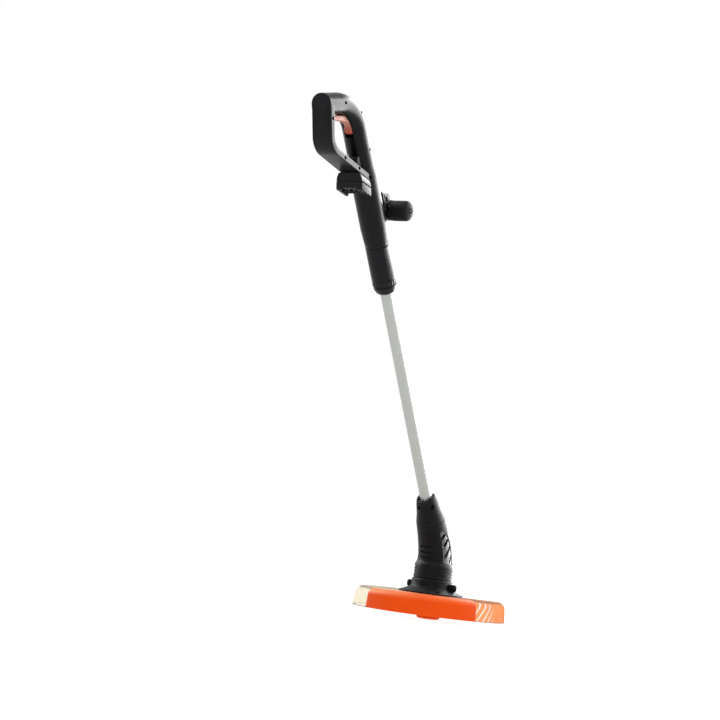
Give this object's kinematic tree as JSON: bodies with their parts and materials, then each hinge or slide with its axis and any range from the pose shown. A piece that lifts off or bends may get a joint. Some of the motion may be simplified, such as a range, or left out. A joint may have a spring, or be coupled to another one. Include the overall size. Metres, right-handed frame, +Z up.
{
  "type": "cordless string trimmer",
  "caption": "Bare cordless string trimmer: loop handle with trigger, cross grip, telescopic tube, tilted motor head, bump-feed spool and an orange guard with clear sides.",
  "frame": {"origin": "middle of the bump cap's flat face, on the motor's axis", "axes": "+Z up the motor's axis with the cutting plane level, -Y towards the user along the shaft's lean, +X to the right side that carries the screws"},
  "size_m": [0.278, 0.6262, 0.8511],
  "materials": {
    "black_plastic": "fine satin grain",
    "dark_grey_plastic": "satin grain",
    "soft_grip": "soft matt",
    "orange_plastic": "semi-gloss moulded",
    "trigger_plastic": "satin moulded",
    "clear_plastic": "clear tinted polycarbonate",
    "satin_tube": "satin anodised",
    "steel": "zinc plated",
    "brass": "bright",
    "line_plastic": "extruded nylon"
  },
  "bodies": {
    "handle": {"housing_left": "black_plastic", "housing_right": "black_plastic", "barrel_sleeve": "black_plastic", "collet": "soft_grip", "battery_foot": "dark_grey_plastic", "terminal_block": "soft_grip", "battery_contacts": "brass", "trigger_switch": "dark_grey_plastic", "trigger_pin": "steel", "trigger_spring": "steel", "aux_bracket": "black_plastic", "aux_bolt": "steel", "sleeve_screw": "steel", "housing_screw_1": "steel", "housing_screw_2": "steel", "housing_screw_3": "steel", "housing_screw_4": "steel", "housing_screw_5": "steel", "housing_screw_6": "steel", "housing_screw_7": "steel"},
    "trigger": {"trigger": "trigger_plastic"},
    "lock_off": {"lock_button": "trigger_plastic"},
    "collar": {"lock_collar": "dark_grey_plastic"},
    "tube": {"shaft_tube": "satin_tube", "tube_stop": "dark_grey_plastic", "neck": "dark_grey_plastic", "neck_screw_1": "steel", "neck_screw_2": "steel"},
    "head": {"motor_housing_left": "black_plastic", "motor_housing_right": "black_plastic", "side_grille_left": "dark_grey_plastic", "side_grille_right": "dark_grey_plastic", "head_screw_1": "steel", "head_screw_2": "steel", "motor_can": "steel", "lower_bearing": "steel", "guard_ring": "black_plastic", "guard_shield": "orange_plastic", "guard_wing_left": "clear_plastic", "guard_wing_right": "clear_plastic", "guard_screw_1": "steel", "guard_screw_2": "steel", "guard_screw_3": "steel", "line_cutter": "steel", "cutter_screw": "steel"},
    "rotor": {"motor_shaft": "steel", "cooling_fan": "black_plastic", "spool_housing": "black_plastic", "spool_cover": "black_plastic", "line_eyelet_left": "steel", "line_eyelet_right": "steel", "spool_spring": "steel"},
    "spool": {"spool": "dark_grey_plastic", "spool_line": "line_plastic", "bump_cap": "orange_plastic"},
    "aux_handle": {"aux_stem": "black_plastic", "aux_grip_left": "soft_grip", "aux_grip_right": "soft_grip", "grip_bolt": "steel"}
  },
  "joints": [
    {"name": "telescope", "type": "slide", "parent": "handle", "child": "tube", "axis": [0, -0.5446, 0.8387], "range_m": [0, 0.12]},
    {"name": "collar_twist", "type": "hinge", "parent": "handle", "child": "collar", "pos_m": [0, -0.27777, 0.55573], "axis": [0, -0.5446, 0.8387], "range_deg": [0, 60]},
    {"name": "head_turn", "type": "hinge", "parent": "tube", "child": "head", "pos_m": [0, -0.03159, 0.17664], "axis": [0, -0.5446, 0.8387], "range_deg": [0, 180]},
    {"name": "motor_spin", "type": "hinge", "parent": "head", "child": "rotor", "pos_m": [0, 0, 0.046], "axis": [0, 0, 1], "continuous": true},
    {"name": "bump_press", "type": "slide", "parent": "rotor", "child": "spool", "axis": [0, 0, 1], "range_m": [0, 0.004], "stiffness_N_per_m": 1200, "springref_m": -0.004, "deforming": ["spool_spring"]},
    {"name": "trigger_pull", "type": "hinge", "parent": "handle", "child": "trigger", "pos_m": [0, -0.53128, 0.8139], "axis": [1, 0, 0], "range_deg": [0, 7], "stiffness_Nm_per_rad": 0.4, "springref_deg": -8.59},
    {"name": "lock_button_press", "type": "slide", "parent": "handle", "child": "lock_off", "axis": [1, 0, 0], "range_m": [0, 0.0028], "stiffness_N_per_m": 600, "springref_m": -0.002},
    {"name": "cross_grip_pivot", "type": "hinge", "parent": "handle", "child": "aux_handle", "pos_m": [0, -0.33479, 0.7078], "axis": [1, 0, 0], "range_deg": [-15, 60]}
  ]
}
